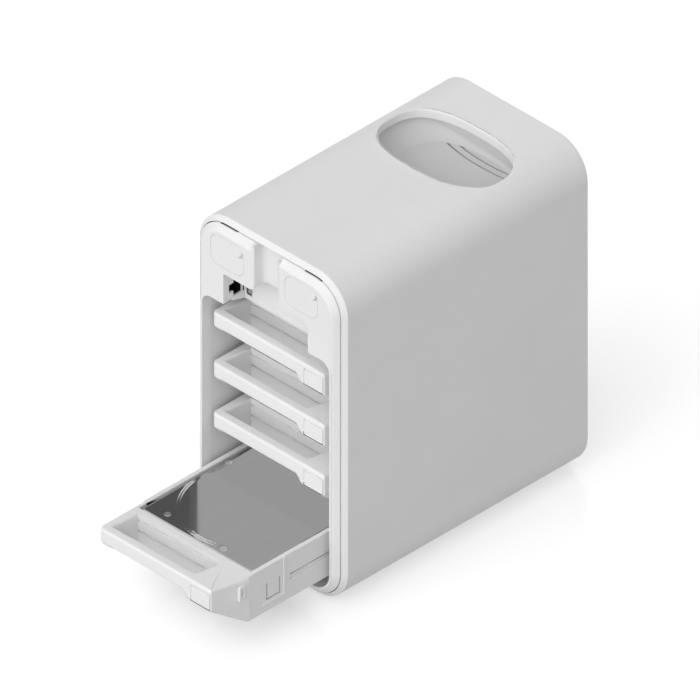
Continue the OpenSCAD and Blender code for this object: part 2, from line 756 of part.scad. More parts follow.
module tray(n) {
    color("gainsboro") in_bay(n) difference() {
        union() {
            for (flip = [0, 1]) mirror([flip, 0, 0])
                box([tray_half_w - wall_t, face_end + 0.1, 0], [tray_half_w, tray_end, tray_h]);
            difference() {
                box([-tray_half_w + 1, face_back + 0.1, 0], [tray_half_w - 1, tray_end, floor_t]);
                // rounded air holes under the drive
                for (x = [-1, 1], y = [56.5 : 41 : 140]) translate([x * 26.5, 0, -1])
                    linear_extrude(floor_t + 2) round_rect(17, 29, 5, y);
                for (y = [56.5 : 41 : 140]) translate([0, 0, -1])
                    linear_extrude(floor_t + 2) round_rect(20, 29, 5, y);
                for (x = [-60, 51]) box([x, 30, -1], [x + 9, face_end + 0.1, floor_t + 2]);
            }
            for (flip = [0, 1]) mirror([flip, 0, 0]) {
                // ledge under the drive and the clip's pin in the drive's side hole
                box([48, face_end + 0.1, drive_low - 1.8], [tray_half_w - wall_t + 0.1, tray_end - 6, drive_low - 0.1]);
                translate([48.9, drive_front + drive_holes[0], drive_low + 6.35])
                    rotate([0, 90, 0]) cylinder(r = 1.4, h = 3);
                // raised border round the clip and the rib behind it
                box([tray_half_w - 0.1, 60.6, 5], [tray_half_w + 0.5, 62.4, tray_h - 0.6]);
                box([tray_half_w - 0.1, face_end + 0.1, 5], [tray_half_w + 0.5, 62.4, 6.6]);
            }
        }
        for (flip = [0, 1]) mirror([flip, 0, 0]) {
            // U-shaped cut that frees the clip
            for (y = [clip_y, clip_y + clip_l - clip_cut]) box([50, y, clip_z], [60, y + clip_cut, clip_z + clip_h]);
            box([50, clip_y, clip_z], [60, clip_y + clip_l, clip_z + clip_cut]);
            // guide groove
            box([tray_half_w - guide_cut, groove_start, rail_z - 2.5], [tray_half_w + 1, tray_end + 1, rail_z + 2.5]);
            box([50, groove_start + 2, rail_z - 0.3], [60, tray_end - 20, rail_z + 0.7]);
        }
        // room at the back end for the socket
        box([-34, tray_end - 5, -1], [18, tray_end + 1, 12]);
    }
}

// Plan of the handle: one bar, two arms and a block, as seen from above.
module handle_plan() {
    left = -tray_half_w;
    front_r = 4.5;
    difference() {
        union() {
            polygon([[left, front_r], [left + front_r, 0], [block_x - 1.5, 0], [block_x, 1.5],
                [tray_half_w, 30], [tray_half_w, face_end], [left, face_end]]);
            translate([left + front_r, front_r]) circle(front_r);
            translate([block_x - 1.6, 1.6]) circle(1.6);
        }
        polygon([[-48, bar_t], [26.4, bar_t], [31.6, face_front], [-46.7, face_front]]);
        translate([-tray_half_w + wall_t, face_back]) square([2 * (tray_half_w - wall_t), 20]);
    }
}

// Front view of the handle: the bar steps down to the block in a soft curve.
module handle_front() {
    step_start = 22;
    step_w = 6;
    drop = block_h - bar_h;
    polygon(concat(
        [[-tray_half_w - 1, tray_h], [-tray_half_w - 1, tray_h - bar_h]],
        [for (t = [0 : 0.125 : 1])
            [step_start + step_w * t, tray_h - bar_h - drop * (1 - cos(180 * t)) / 2]],
        [[tray_half_w + 1, tray_h - block_h], [tray_half_w + 1, tray_h]]));
}

// Side view of an arm: as high as the bar or the block in front, and full height at its back.
module deepening(front_h) {
    polygon([[0, tray_h - front_h], [deep_from, 0], [face_front + 1, 0], [face_front + 1, tray_h - 1],
        [0, tray_h - 1]]);
}

module handle(n) {
    color("white") in_bay(n) difference() {
        union() {
            intersection() {
                linear_extrude(tray_h) handle_plan();
                slab(-1, face_front + 1) handle_front();
            }
            // the block and the left arm deepen towards the face plate
            intersection() {
                linear_extrude(tray_h) handle_plan();
                union() {
                    side_slab(28, tray_half_w + 1) deepening(block_h);
                    side_slab(-tray_half_w - 1, -45) deepening(bar_h);
                }
            }
            box([-tray_half_w, face_front, 0], [tray_half_w, face_back, tray_h]);
            for (x = [-tray_half_w, tray_half_w - wall_t]) box([x, face_back - 1, 0], [x + wall_t, face_end, tray_h]);
        }
        // two long grooves across the face plate
        for (z = face_grooves) box([-46.7, face_front - 1, z - face_groove_h / 2],
            [31, face_front + face_groove_d, z + face_groove_h / 2]);
        // pockets for the release button and the catch
        box([button_lo[0] - button_gap, -1, button_lo[1] - button_gap],
            [button_hi[0] + button_gap, 9, button_hi[1] + button_gap]);
        box([38, 8, 19.4], [48.4, 27, 30.6]);
        box([48, catch_y - catch_w / 2 - 0.3, catch_z - catch_h / 2 - 0.3],
            [60, catch_y + catch_w / 2 + 0.3, catch_z + catch_h / 2 + 0.3]);
    }
}

module button(n) {
    color("white") in_bay(n) difference() {
        slab(-0.25, 6)
            translate([(button_lo[0] + button_hi[0]) / 2, 0])
                round_rect(button_hi[0] - button_lo[0], button_hi[1] - button_lo[1], 0.8, button_lo[1]);
        box([button_lo[0] + 2, 2.5, button_lo[1] + 2], [button_hi[0] - 2, 7, button_hi[1] - 2]);
    }
}

// The catch shows as a small upright ring in the block's side.
module catch(n) {
    color("white") in_bay(n) difference() {
        box([42, catch_y - catch_w / 2, catch_z - catch_h / 2], [55.1, catch_y + catch_w / 2, catch_z + catch_h / 2]);
        box([53, catch_y - 1.2, catch_z - 3.2], [60, catch_y + 1.2, catch_z + 3.2]);
    }
}

module drive(n) {
    color("dimgray") in_bay(n) translate([0, drive_front, drive_low]) difference() {
        linear_extrude(drive_h - lid_t) round_rect(drive_w, drive_l, 2.5);
        // hollow for the circuit board, and the connector's notch
        box([-46, 6, -1], [46, 110, 2.6]);
        box([-31.5, drive_l - 6, -1], [15.5, drive_l + 1, 7]);
        // threads of the lid screws
        for (place = concat(low_screws, high_screws, [sunk_screw]))
            translate([place[0], place[1], drive_h - lid_t - 3.5]) cylinder(r = 1.3, h = 5);
        for (flip = [0, 1], y = drive_holes) mirror([flip, 0, 0])
            translate([drive_w / 2 - 4, y, 6.35]) rotate([0, 90, 0]) cylinder(r = 1.5, h = 6);
    }
}

// Outline of the lid's raised area: a round over the platters, running back as a rectangle.
module lid_raise() {
    difference() {
        union() {
            translate([0, disc_y]) circle(disc_r);
            polygon([[0, disc_y], [48, 44.5], [48, drive_l - 6], [-38, drive_l - 6], [-38, disc_y]]);
        }
        polygon([[19, -5], [60, -5], [60, 44], [47, 44], [19, 9]]);
    }
}

module drive_lid(n) {
    color("lightslategray") in_bay(n) translate([0, drive_front, drive_low + drive_h - lid_t]) difference() {
        union() {
            linear_extrude(lid_base) translate([0, 0.6]) round_rect(drive_w - 1.2, drive_l - 1.2, 2.2);
            linear_extrude(lid_t) lid_raise();
        }
        // fine groove just inside the raised edge
        translate([0, disc_y, lid_t - 0.35]) linear_extrude(2) difference() {
            circle(disc_r - 1.6);
            circle(disc_r - 2.3);
        }
        for (place = concat(low_screws, high_screws, [sunk_screw]))
            translate([place[0], place[1], -1]) cylinder(r = 1.3, h = 5);
        translate([sunk_screw[0], sunk_screw[1], lid_base - 0.5]) cylinder(r = 3.9, h = 5);
    }
}

// Lid screws at one height, their heads up.
module lid_screws(places, height, head_r = 2.3) {
    for (place = places) translate([place[0], place[1], height]) rotate([-90, 0, 0])
        screw(head_r = head_r, head_h = 0.7, shank_r = 1.2, shank_l = 3);
}

module drive_screws(n) {
    color("silver") in_bay(n) translate([0, drive_front, drive_low + drive_h - lid_t]) {
        lid_screws(low_screws, lid_base + 0.05);
        lid_screws(high_screws, lid_t + 0.05);
        lid_screws([sunk_screw], lid_base - 0.45, 3.2);
    }
}

module drive_board(n) {
    color("seagreen") in_bay(n) translate([0, drive_front, drive_low]) {
        box([-45, 8, 1.1], [45, 108, 2.4]);
        box([-20, 30, 0.1], [0, 50, 1.1]);
        box([12, 60, 0.1], [26, 74, 1.1]);
    }
}

outer_shell();
base_pad();
rear_panel();
case_screws();
front_bezel();
port_shroud();
port_plate();
lan_jack();
usb_port();
status_light();
power_inlet();
mainboard();
heat_sink();
cage_left();
cage_right();
cage_floor();
cage_ceiling();
backplane();
sata_sockets();
fan_frame();
fan_rotor();
fan_screws();
top_scoop();
ssd_guides();
ssd_sled_left();
ssd_sled_right();
ssd_left();
ssd_right();
for (n = [1 : 4]) {
    tray(n);
    handle(n);
    button(n);
    catch(n);
    drive(n);
    drive_lid(n);
    drive_board(n);
    drive_screws(n);
}
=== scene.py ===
"""Looks for the four-bay storage enclosure: materials, soft edges, detail pieces, floor, light and camera."""

import json
import math

import bmesh
import bpy
import numpy as np
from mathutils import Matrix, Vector


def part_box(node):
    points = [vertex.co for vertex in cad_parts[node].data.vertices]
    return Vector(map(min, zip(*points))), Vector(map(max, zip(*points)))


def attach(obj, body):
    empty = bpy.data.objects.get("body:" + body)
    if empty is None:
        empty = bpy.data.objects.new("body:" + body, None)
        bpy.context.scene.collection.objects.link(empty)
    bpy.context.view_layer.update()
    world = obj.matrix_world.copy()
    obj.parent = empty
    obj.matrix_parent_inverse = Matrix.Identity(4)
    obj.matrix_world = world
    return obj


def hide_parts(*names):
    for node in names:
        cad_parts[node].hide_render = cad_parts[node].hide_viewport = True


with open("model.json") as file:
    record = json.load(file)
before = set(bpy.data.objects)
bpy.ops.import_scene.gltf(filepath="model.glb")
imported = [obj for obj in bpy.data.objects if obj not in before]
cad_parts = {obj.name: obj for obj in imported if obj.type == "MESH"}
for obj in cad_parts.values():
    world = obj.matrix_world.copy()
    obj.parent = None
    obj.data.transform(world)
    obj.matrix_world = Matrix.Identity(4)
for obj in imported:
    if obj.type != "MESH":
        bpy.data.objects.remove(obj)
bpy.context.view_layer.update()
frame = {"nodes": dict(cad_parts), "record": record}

MM = 0.001
BAYS = (1, 2, 3, 4)
scene = bpy.context.scene
scene.view_settings.view_transform = "Standard"


# ---------------------------------------------------------------- camera
VIEW_AZIMUTH = math.radians(45)
VIEW_ELEVATION = math.radians(35)
VIEW_DISTANCE = 2.0
VIEW_WIDTH = 0.451             # width of the picture
VIEW_TARGET = Vector((0, -0.0365, 0.1375))


def view_direction(azimuth, elevation):
    """From the target towards the camera."""
    return Vector((math.sin(azimuth) * math.cos(elevation),
                   -math.cos(azimuth) * math.cos(elevation),
                   math.sin(elevation)))


def add_camera():
    """A parallel view, as through a very long lens."""
    away = view_direction(VIEW_AZIMUTH, VIEW_ELEVATION)
    data = bpy.data.cameras.new("camera")
    data.type = "ORTHO"
    data.ortho_scale = VIEW_WIDTH
    camera = bpy.data.objects.new("camera", data)
    camera.location = VIEW_TARGET + away * VIEW_DISTANCE
    camera.rotation_mode = "QUATERNION"
    camera.rotation_quaternion = (-away).to_track_quat("-Z", "Y")
    scene.collection.objects.link(camera)
    scene.camera = camera


# ---------------------------------------------------------------- materials
def grey(value):
    return (value, value, value)


def new_material(name, color, roughness, metallic=0.0, specular=0.5):
    material = bpy.data.materials.new(name)
    material.use_nodes = True
    tree = material.node_tree
    shader = tree.nodes["Principled BSDF"]
    shader.inputs["Base Color"].default_value = (*color, 1)
    shader.inputs["Roughness"].default_value = roughness
    shader.inputs["Metallic"].default_value = metallic
    shader.inputs["Specular IOR Level"].default_value = specular
    return material, tree, shader


def place_texture(tree, stretch=(1, 1, 1)):
    """Object coordinates in metres, stretched along an axis where the texture runs in streaks."""
    coordinates = tree.nodes.new("ShaderNodeTexCoord")
    mapping = tree.nodes.new("ShaderNodeMapping")
    mapping.inputs["Scale"].default_value = stretch
    tree.links.new(coordinates.outputs["Object"], mapping.inputs["Vector"])
    return mapping.outputs["Vector"]


def noise(tree, vector, scale, detail=3.0, roughness=0.5):
    node = tree.nodes.new("ShaderNodeTexNoise")
    node.inputs["Scale"].default_value = scale
    node.inputs["Detail"].default_value = detail
    node.inputs["Roughness"].default_value = roughness
    tree.links.new(vector, node.inputs["Vector"])
    return node.outputs["Fac"]


def span(tree, value, low, high):
    """Turns a noise of about 0.3 to 0.7 into low to high."""
    node = tree.nodes.new("ShaderNodeMapRange")
    node.inputs["From Min"].default_value = 0.3
    node.inputs["From Max"].default_value = 0.7
    node.inputs["To Min"].default_value = low
    node.inputs["To Max"].default_value = high
    tree.links.new(value, node.inputs["Value"])
    return node.outputs["Result"]


def tint(tree, value, dark, light):
    """A colour between dark and light, following a noise."""
    node = tree.nodes.new("ShaderNodeMix")
    node.data_type = "RGBA"
    tree.links.new(span(tree, value, 0, 1), node.inputs["Factor"])
    node.inputs["A"].default_value = (*dark, 1)
    node.inputs["B"].default_value = (*light, 1)
    return node.outputs["Result"]


def bump(tree, shader, height, distance):
    node = tree.nodes.new("ShaderNodeBump")
    node.inputs["Distance"].default_value = distance
    tree.links.new(height, node.inputs["Height"])
    tree.links.new(node.outputs["Normal"], shader.inputs["Normal"])


def moulded(name, color, roughness, grain=0.00002, grain_scale=2600, variation=0.01):
    """Moulded plastic: a fine spark-eroded grain, and a faint unevenness in colour and gloss."""
    material, tree, shader = new_material(name, color, roughness)
    vector = place_texture(tree)
    dark = tuple(max(c - variation, 0) for c in color)
    light = tuple(min(c + variation, 1) for c in color)
    tree.links.new(tint(tree, noise(tree, vector, 22, 2), dark, light), shader.inputs["Base Color"])
    tree.links.new(span(tree, noise(tree, vector, 60, 3), roughness - 0.03, roughness + 0.03),
                   shader.inputs["Roughness"])
    bump(tree, shader, noise(tree, vector, grain_scale, 2), grain)
    return material


def rolled_metal(name, color, roughness, streak=(1, 1, 1), depth=0.000004, scale=900, variation=0.05):
    """Sheet or cast metal: streaks or grain in its gloss, and a faint waviness."""
    material, tree, shader = new_material(name, color, roughness, metallic=1.0)
    vector = place_texture(tree, streak)
    fine = noise(tree, vector, scale, 4, 0.6)
    dark = tuple(c * (1 - variation) for c in color)
    light = tuple(min(c * (1 + variation), 1) for c in color)
    tree.links.new(tint(tree, noise(tree, vector, scale * 0.2, 3), dark, light), shader.inputs["Base Color"])
    tree.links.new(span(tree, fine, roughness * 0.85, roughness * 1.15), shader.inputs["Roughness"])
    bump(tree, shader, fine, depth)
    return material


def circuit_board(name, color):
    """Solder mask over a grid of tracks."""
    material, tree, shader = new_material(name, color, 0.3)
    brick = tree.nodes.new("ShaderNodeTexBrick")
    brick.inputs["Scale"].default_value = 260
    brick.inputs["Mortar Size"].default_value = 0.03
    brick.inputs["Color1"].default_value = (*color, 1)
    brick.inputs["Color2"].default_value = (*[c * 0.8 for c in color], 1)
    brick.inputs["Mortar"].default_value = (*[c * 1.7 for c in color], 1)
    tree.links.new(place_texture(tree), brick.inputs["Vector"])
    tree.links.new(brick.outputs["Color"], shader.inputs["Base Color"])
    bump(tree, shader, brick.outputs["Fac"], 0.00003)
    return material


def make_materials():
    return {
        "white_plastic": moulded("white_plastic", grey(0.86), 0.42),
        # painted highlight: the rim is the case's white plastic, made lighter so that it shows as a bright
        # line round the hole; its gloss is real
        "rim_painted_highlight": moulded("rim_painted_highlight", grey(0.97), 0.15),
        # painted shade: the scoop's inside is the case's white plastic, made darker where it lies in shade
        # under the lip and down in the hollow
        "scoop_painted_shade": moulded("scoop_painted_shade", grey(0.66), 0.5),
        "tray_plastic": moulded("tray_plastic", grey(0.87), 0.38),
        "cage_plastic": moulded("cage_plastic", grey(0.8), 0.5),
        "rubber_pad": moulded("rubber_pad", (0.05, 0.05, 0.052), 0.75, grain=0.00006, grain_scale=1400),
        "screw_steel": rolled_metal("screw_steel", (0.8, 0.8, 0.81), 0.14),
        "port_steel": rolled_metal("port_steel", (0.62, 0.62, 0.64), 0.28),
        "dark_plastic": moulded("dark_plastic", (0.012, 0.012, 0.013), 0.4, variation=0.003),
        "circuit_board": circuit_board("circuit_board", (0.015, 0.12, 0.06)),
        "sink_aluminium": rolled_metal("sink_aluminium", (0.75, 0.76, 0.77), 0.35, streak=(1, 0.05, 1)),
        "drive_casting": rolled_metal("drive_casting", (0.42, 0.43, 0.44), 0.42, depth=0.00002),
        "drive_steel": rolled_metal("drive_steel", (0.55, 0.553, 0.555), 0.1, streak=(1, 0.04, 1),
                                    depth=0.0000003, variation=0.01),
    }


# ---------------------------------------------------------------- CAD nodes with softened edges
SHARP = math.radians(32)       # edges that turn by more than this are rounded


def kind_of(name):
    return name[:-2] if name[-1].isdigit() else name


def finish_mesh(mesh):
    """Smooth shading that stays crisp at any edge left sharp."""
    mesh.shade_smooth()
    mesh.set_sharp_from_angle(angle=math.radians(40))


def clean_copy(node):
    """A CAD node's mesh with its doubled points joined and its flat faces made whole."""
    net = bmesh.new()
    net.from_mesh(node.data)
    bmesh.ops.remove_doubles(net, verts=net.verts, dist=0.00002)
    bmesh.ops.dissolve_limit(net, angle_limit=math.radians(0.4), verts=net.verts, edges=net.edges)
    bmesh.ops.recalc_face_normals(net, faces=net.faces)
    return net


def rounded(name, pick_width, steps=3, clamped=True):
    """A CAD node's mesh, its sharp edges rounded by pick_width(edge's middle) in mm. 0 leaves one sharp."""
    net = clean_copy(frame["nodes"][name])
    layer = net.edges.layers.int.new("width")      # in hundredths of a millimetre
    widths = set()
    for edge in net.edges:
        if len(edge.link_faces) == 2 and edge.calc_face_angle(0) > SHARP:
            middle = (edge.verts[0].co + edge.verts[1].co) / 2 / MM
            edge[layer] = round(pick_width(middle) * 100)
            widths.add(edge[layer])
    for width in sorted(widths, reverse=True):
        chosen = [edge for edge in net.edges if edge[layer] == width and edge.is_valid]
        if width and chosen:
            bmesh.ops.bevel(net, geom=chosen, offset=width / 100 * MM, offset_type="OFFSET", segments=steps,
                            profile=0.5, affect="EDGES", clamp_overlap=clamped)
    mesh = bpy.data.meshes.new(name + "_looks")
    net.to_mesh(mesh)
    net.free()
    finish_mesh(mesh)
    return mesh


def add_piece(name, mesh, material, body, slot, *replaced):
    piece = bpy.data.objects.new(name, mesh)
    scene.collection.objects.link(piece)
    mesh.materials.clear()
    mesh.materials.append(material)
    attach(piece, body)
    if replaced:
        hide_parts(*replaced)
    weigh = piece.modifiers.new("normals", "WEIGHTED_NORMAL")
    weigh.keep_sharp = True
    return piece


EDGE_WIDTHS = {"outer_shell": 0.5, "button": 0.5, "catch": 0.3, "tray": 0.3, "drive": 0.5, "port_shroud": 0.5,
               "port_plate": 0.25, "rear_panel": 0.3, "base_pad": 0.4, "lan_jack": 0.2, "usb_port": 0.12,
               "case_screws": 0.2, "fan_screws": 0.2, "drive_screws": 0.12}


def soften(node, width_mm, steps=2):
    """Rounds a CAD node's edges with modifiers."""
    weld = node.modifiers.new("weld", "WELD")
    weld.merge_threshold = 0.00002
    flat = node.modifiers.new("flat", "DECIMATE")
    flat.decimate_type = "DISSOLVE"
    flat.angle_limit = math.radians(0.4)
    edge = node.modifiers.new("edge", "BEVEL")
    edge.width = width_mm * MM
    edge.segments = steps
    edge.limit_method = "ANGLE"
    edge.angle_limit = SHARP
    for face in node.data.polygons:
        face.use_smooth = True
    weigh = node.modifiers.new("normals", "WEIGHTED_NORMAL")
    weigh.keep_sharp = True


def dress_nodes(materials):
    slots = {row["node"]: row["material_slot"] for row in frame["record"]["subparts"]}
    for name, node in frame["nodes"].items():
        node.data.materials.clear()
        node.data.materials.append(materials[slots[name]])
        soften(node, EDGE_WIDTHS.get(kind_of(name), 0.2))


# ---------------------------------------------------------------- handles
NEAR = 1                       # how close to a part's box an edge counts as round it
HANDLE_EDGE = 1.8              # rounding of the handle's own edges
POCKET_EDGE = 0.15             # rounding round the pockets of the button and the catch
BUTTON_POCKET = 28             # depth of the button's pocket behind the handle's front
CATCH_POCKET = 6               # depth of the catch's pocket from the handle's right side
FACE_FROM = 24                 # the face plate, left sharp, starts this far behind the handle's front
HANDLE_STEPS = 4


def add_handles(materials):
    """Each handle with generous soft edges, and fine ones round its pockets."""
    for bay in BAYS:
        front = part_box(f"handle_{bay}")[0].y / MM
        button_low, button_high = (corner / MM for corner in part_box(f"button_{bay}"))
        catch_low, catch_high = (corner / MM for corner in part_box(f"catch_{bay}"))

        def pick(middle):
            in_button = (button_low.x - NEAR < middle.x < button_high.x + NEAR
                         and button_low.z - NEAR < middle.z < button_high.z + NEAR
                         and middle.y < front + BUTTON_POCKET)
            in_catch = (middle.x > catch_high.x - CATCH_POCKET
                        and catch_low.y - NEAR < middle.y < catch_high.y + NEAR
                        and catch_low.z - NEAR < middle.z < catch_high.z + NEAR)
            if in_button or in_catch:
                return POCKET_EDGE
            return 0 if middle.y > front + FACE_FROM else HANDLE_EDGE

        mesh = rounded(f"handle_{bay}", pick, HANDLE_STEPS, clamped=False)
        add_piece(f"soft_handle_{bay}", mesh, materials["tray_plastic"], f"tray_body_{bay}", "tray_plastic",
                  f"handle_{bay}")


# ---------------------------------------------------------------- front bezel
FRONT_FACE = 0.5               # edges no further back than this are on the bezel's front face
BAYS_TOP = 190                 # the tray bays end below this height
BAY_EDGE, PORT_EDGE = 1.0, 0.8     # rounding of its front edges, below that height and above it
SLED_EDGE, INNER_EDGE = 0.25, 0.2  # rounding round the sleds, and further back


def add_bezel(materials):
    """The bezel with soft openings, softest round the tray bays."""
    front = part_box("front_bezel")[0].y / MM
    sleds = [tuple(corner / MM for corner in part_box(f"ssd_sled_{side}")) for side in ("left", "right")]

    def pick(middle):
        for low, high in sleds:
            if low.x - NEAR < middle.x < high.x + NEAR and low.z - NEAR < middle.z < high.z + NEAR:
                return SLED_EDGE
        if middle.y < front + FRONT_FACE:
            return BAY_EDGE if middle.z < BAYS_TOP else PORT_EDGE
        return INNER_EDGE

    add_piece("soft_bezel", rounded("front_bezel", pick), materials["white_plastic"], "case", "white_plastic",
              "front_bezel")


# ---------------------------------------------------------------- drive lids
LID_STEP = 0.7                 # grid of the lid's pressed surface
LID_CORNER = 3
DISC_R = 47.5
DISC_Y = 52.7                  # the disc's centre behind the drive's front
RAISED_X = (-38, 47.5)
RAISED_END = 141
RAISE = 0.5                    # how far the pressed area stands up, in two small steps
STEP_W = 0.7                   # width of each step
STEP_GAP = 1.9                 # from one step to the next
LID_FRONT = 0.6                # the lid's front edge behind the drive's front
BLOCK_FROM = 6                 # the block starts this far before the disc's centre
BLEND = 8                      # width of the smooth run from the disc into the block
WEDGE = (16.6, 17.2)           # inner corner of the wedge cut from the front right
WEDGE_SIDES = ((-0.664, 0.748), (-0.962, -0.271))  # the way out of it across each side
EDGE_DROP, EDGE_RUN = 0.5, 0.8     # how far the lid's rim turns down, and over what width
SHEET = 0.8                    # thickness of the lid


def smooth(value):
    value = np.clip(value, 0, 1)
    return value * value * (3 - 2 * value)


def inside_raised(x, y):
    """Distance inside the raised area: a disc that runs into a block, less a wedge at its front right."""
    disc = DISC_R - np.hypot(x, y - DISC_Y)
    across = np.minimum(x - RAISED_X[0], RAISED_X[1] - x)
    block = np.minimum(across, np.minimum(y - DISC_Y + BLOCK_FROM, RAISED_END - y))
    blend = np.clip(BLEND - np.abs(disc - block), 0, BLEND)
    raised = np.maximum(disc, block) + blend ** 2 / (4 * BLEND)
    along, beside = ((x - WEDGE[0]) * side[0] + (y - WEDGE[1]) * side[1] for side in WEDGE_SIDES)
    return np.minimum(raised, np.maximum(along, beside))


def lid_height(x, y):
    """Height of the pressed area, in two small steps."""
    raised = inside_raised(x, y + LID_FRONT)
    return RAISE / 2 * (smooth(raised / STEP_W + 0.5) + smooth((raised + STEP_GAP) / STEP_W + 0.5))


def add_lids(materials):
    """One pressed lid, shared by the four drives."""
    low, high = (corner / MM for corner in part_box("drive_lid_1"))
    half, length = (high.x - low.x) / 2, high.y - low.y
    xs = np.linspace(-half, half, int(2 * half / LID_STEP))
    ys = np.linspace(0, length, int(length / LID_STEP))
    grid_x, grid_y = np.meshgrid(xs, ys)
    past_x = np.clip(np.abs(grid_x) - half + LID_CORNER, 0, None)
    past_y = np.clip(np.abs(grid_y - length / 2) - length / 2 + LID_CORNER, 0, None)
    reach = np.hypot(past_x, past_y)
    pull = np.where(reach > LID_CORNER, LID_CORNER / np.maximum(reach, 0.01), 1)
    shown_x = np.sign(grid_x) * (np.abs(grid_x) - past_x * (1 - pull))
    shown_y = grid_y - np.sign(grid_y - length / 2) * past_y * (1 - pull)
    heights = lid_height(grid_x, grid_y)
    edge = LID_CORNER - reach
    heights -= EDGE_DROP * (1 - smooth(edge / EDGE_RUN))
    thickness = high.z - low.z
    tops = np.stack([shown_x, shown_y, heights + thickness - RAISE], axis=-1).reshape(-1, 3) * MM
    rows, columns = len(ys), len(xs)
    faces = [(r * columns + c, r * columns + c + 1, (r + 1) * columns + c + 1, (r + 1) * columns + c)
             for r in range(rows - 1) for c in range(columns - 1)]
    mesh = bpy.data.meshes.new("pressed_lid")
    mesh.from_pydata(tops.tolist(), [], faces)
    mesh.materials.append(materials["drive_steel"])
    mesh.shade_smooth()
    for bay in BAYS:
        low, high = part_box(f"drive_lid_{bay}")
        piece = bpy.data.objects.new(f"pressed_lid_{bay}", mesh)
        piece.location = ((low.x + high.x) / 2, low.y, low.z)
        scene.collection.objects.link(piece)
        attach(piece, f"tray_body_{bay}")
        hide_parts(f"drive_lid_{bay}")
        wall = piece.modifiers.new("wall", "SOLIDIFY")
        wall.thickness = SHEET * MM
        wall.offset = -1


# ---------------------------------------------------------------- top scoop
SCOOP_POWER = 2.6              # how square the scoop's oval is
SCOOP_LIP = 7.5                # height of the scoop's lip
SCOOP_UNDERCUT = 2.5           # how far its wall stands behind the lip
SCOOP_FLOOR = 21               # depth of its floor
SCOOP_MARGIN = 5               # thickness round its opening
SCOOP_EDGE = 0.2               # rounding of its edges
LIP_BAND = 0.3                 # how far below the lip's underside the painted shade of the scoop's inside starts
RAMP_REACH = 2.6               # how far the ramp runs in from the wall
RAMP_LEFT = 13.4               # how much further it runs at the floor's left end
RAMP_POWER = 1.5               # how fast it narrows away from there
RAMP_ROUND = 0.6               # share of the ramp's section that is a quarter circle; the rest is straight
RAMP_STEPS = 12
RAMP_CLEAR = 0.03              # gap that keeps the ramp off the tub
RIM_SECTION = ((-1.25, -1.5), (-1.3, -0.35), (-1.1, -0.06), (-0.7, 0), (-0.2, 0), (0.05, -0.06), (0.1, -0.35))
CORNER_R = 27                  # the case's long rounded edges
RING_STEPS = 160


def oval_strip(center, half, section_at):
    """A closed strip round the scoop. section_at(cosine) lists offsets outwards and heights, in mm."""
    verts = []
    for step in range(RING_STEPS):
        turn = math.tau * step / RING_STEPS
        c, s = math.cos(turn), math.sin(turn)
        for offset, height in section_at(c):
            x = center[0] + (half[0] + offset) * math.copysign(abs(c) ** (2 / SCOOP_POWER), c)
            y = center[1] + (half[1] + offset) * math.copysign(abs(s) ** (2 / SCOOP_POWER), s)
            verts.append((x, y, height))
    count = len(verts) // RING_STEPS
    faces = []
    for step in range(RING_STEPS):
        here, after = step * count, (step + 1) % RING_STEPS * count
        faces += [(here + k, after + k, after + k + 1, here + k + 1) for k in range(count - 1)]
    return verts, faces


def strip_mesh(name, verts, faces):
    mesh = bpy.data.meshes.new(name)
    mesh.from_pydata([(x * MM, y * MM, z * MM) for x, y, z in verts], [], faces)
    finish_mesh(mesh)
    return mesh


def add_scoop(materials):
    """The scoop's tub, darker below its lip as painted shade, a ramp in the same painted shade that softens
    its floor's left end, and a rim round the hole, lighter than the case as a painted highlight.
    """
    low, high = (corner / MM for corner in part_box("top_scoop"))
    shell_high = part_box("outer_shell")[1] / MM
    half = ((high.x - low.x) / 2 - SCOOP_MARGIN, (high.y - low.y) / 2 - SCOOP_MARGIN)
    center = ((low.x + high.x) / 2, (low.y + high.y) / 2)
    top = shell_high.z

    tub = rounded("top_scoop", lambda middle: SCOOP_EDGE)
    add_piece("soft_scoop", tub, materials["white_plastic"], "case", "white_plastic", "top_scoop")
    tub.materials.append(materials["scoop_painted_shade"])
    # faces below the lip take the darker colour, painted shade
    for face in tub.polygons:
        face.material_index = 1 if face.center.z / MM < top - SCOOP_LIP - LIP_BAND else 0

    def ramp(c):
        reach = RAMP_REACH + RAMP_LEFT * max(-c, 0) ** RAMP_POWER
        height = min(reach, SCOOP_FLOOR - SCOOP_LIP - 1)
        points = []
        for step in range(RAMP_STEPS + 1):
            line = step / RAMP_STEPS
            turn = math.radians(90 * line)
            inward = RAMP_ROUND * (1 - math.cos(turn)) + (1 - RAMP_ROUND) * line
            upward = RAMP_ROUND * (1 - math.sin(turn)) + (1 - RAMP_ROUND) * (1 - line)
            points.append((SCOOP_UNDERCUT - RAMP_CLEAR - reach * inward,
                           top - SCOOP_FLOOR + RAMP_CLEAR + height * upward))
        return points

    verts, faces = oval_strip(center, half, ramp)
    ramp_mesh = strip_mesh("scoop_ramp", verts, [face[::-1] for face in faces])
    # the ramp carries the same painted shade
    add_piece("scoop_ramp", ramp_mesh, materials["scoop_painted_shade"], "case", "white_plastic")

    verts, faces = oval_strip(center, half, lambda c: RIM_SECTION)
    lowered = []                   # the rim follows the case down its long rounded edges
    for x, y, height in verts:
        past = max(abs(x) - (shell_high.x - CORNER_R), 0)
        lowered.append((x, y, top + height - CORNER_R + math.sqrt(CORNER_R ** 2 - past ** 2)))
    rim_mesh = strip_mesh("scoop_rim", lowered, faces)
    # the rim is painted lighter than the case, as a highlight
    add_piece("scoop_rim", rim_mesh, materials["rim_painted_highlight"], "case", "white_plastic")


